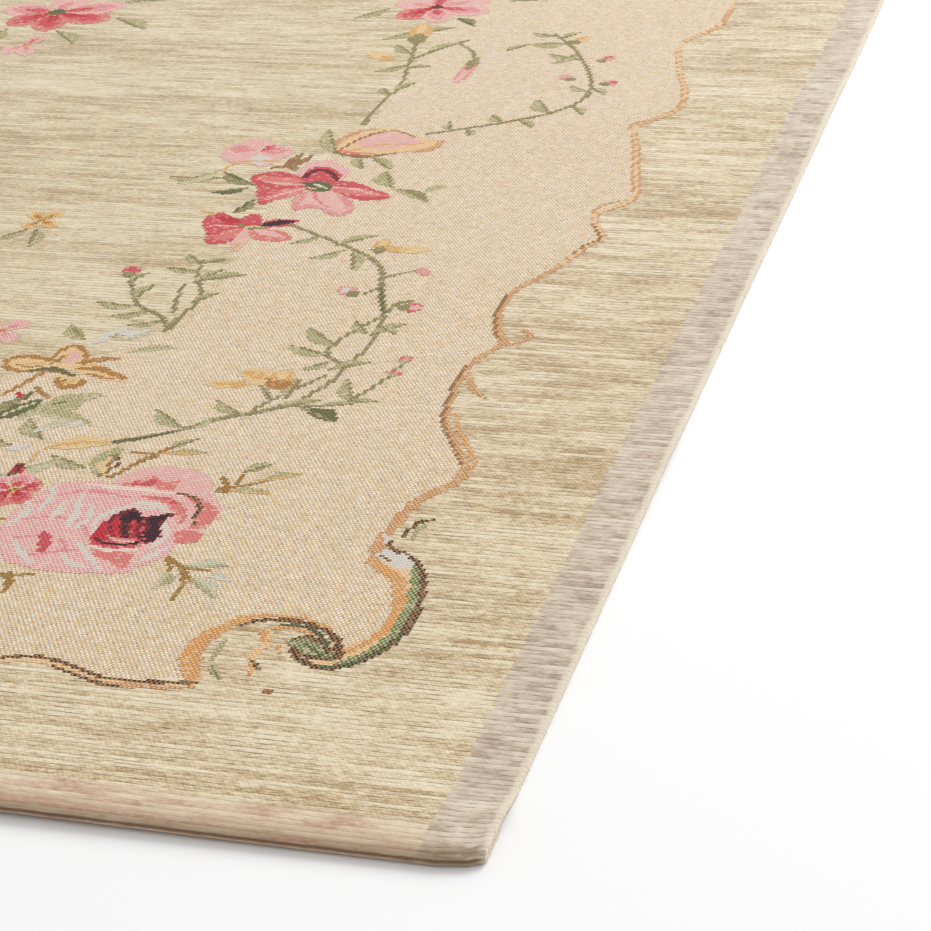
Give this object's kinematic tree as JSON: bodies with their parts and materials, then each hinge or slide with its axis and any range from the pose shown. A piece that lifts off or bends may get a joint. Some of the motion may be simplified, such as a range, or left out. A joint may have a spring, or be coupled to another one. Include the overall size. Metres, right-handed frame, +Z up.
{
  "type": "rug",
  "caption": "Rectangular flat-woven chenille area rug with a scroll-and-flower design, plain woven border bands and turned-under hemmed ends.",
  "frame": {"origin": "centre of the rug on the floor", "axes": "+X across the rug, +Y along its length, +Z up"},
  "size_m": [1.2, 1.8, 0.0063],
  "materials": {
    "woven_chenille": "matt woven chenille with a soft sheen"
  },
  "bodies": {
    "root": {"rug_cloth": "woven_chenille"}
  },
  "joints": []
}
